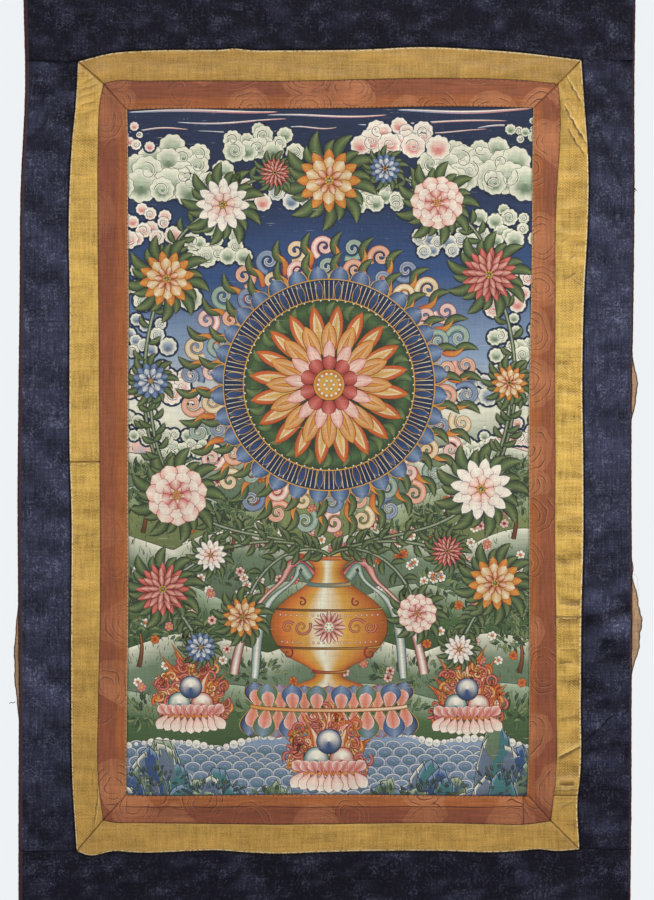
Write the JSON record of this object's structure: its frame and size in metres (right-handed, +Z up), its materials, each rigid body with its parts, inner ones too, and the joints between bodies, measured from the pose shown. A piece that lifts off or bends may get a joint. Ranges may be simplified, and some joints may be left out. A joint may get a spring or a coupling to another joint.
{
  "type": "thangka scroll painting",
  "caption": "Painted cloth scroll, hung by its top hem, with a mitred terracotta and gold silk border, dark blue damask panels round it and a tan cotton lining behind.",
  "frame": {"origin": "middle of the top hem's fold, where the scroll is held", "axes": "+Z up, the cloth hangs below z = 0; the painted side faces -Y and the lining +Y; +X is to the right as the painting is looked at"},
  "size_m": [0.6263, 0.0129, 1.312],
  "materials": {
    "picture_cloth": "matt glue paint on primed cotton, finely cracked by rolling",
    "terracotta_silk": "satin silk damask, faded, with tone-on-tone scrolls",
    "gold_silk": "satin silk with fine ribs and small diaper bands, lightly creased",
    "blue_damask": "worn dark blue silk damask, tone on tone",
    "tan_lining": "plain-woven cotton, tan, unfinished",
    "edging_cord": "dull dark red twisted thread"
  },
  "bodies": {
    "root": {"canvas": "picture_cloth", "red_top": "terracotta_silk", "red_bottom": "terracotta_silk", "red_bottom_end": "terracotta_silk", "red_left": "terracotta_silk", "red_right": "terracotta_silk", "gold_top": "gold_silk", "gold_bottom": "gold_silk", "gold_left_upper": "gold_silk", "gold_left_lower": "gold_silk", "gold_right_upper": "gold_silk", "gold_right_middle": "gold_silk", "gold_right_lower": "gold_silk", "blue_top": "blue_damask", "blue_bottom": "blue_damask", "blue_left": "blue_damask", "blue_right": "blue_damask", "lining": "tan_lining", "edging_left": "edging_cord", "edging_right": "edging_cord"}
  },
  "joints": []
}
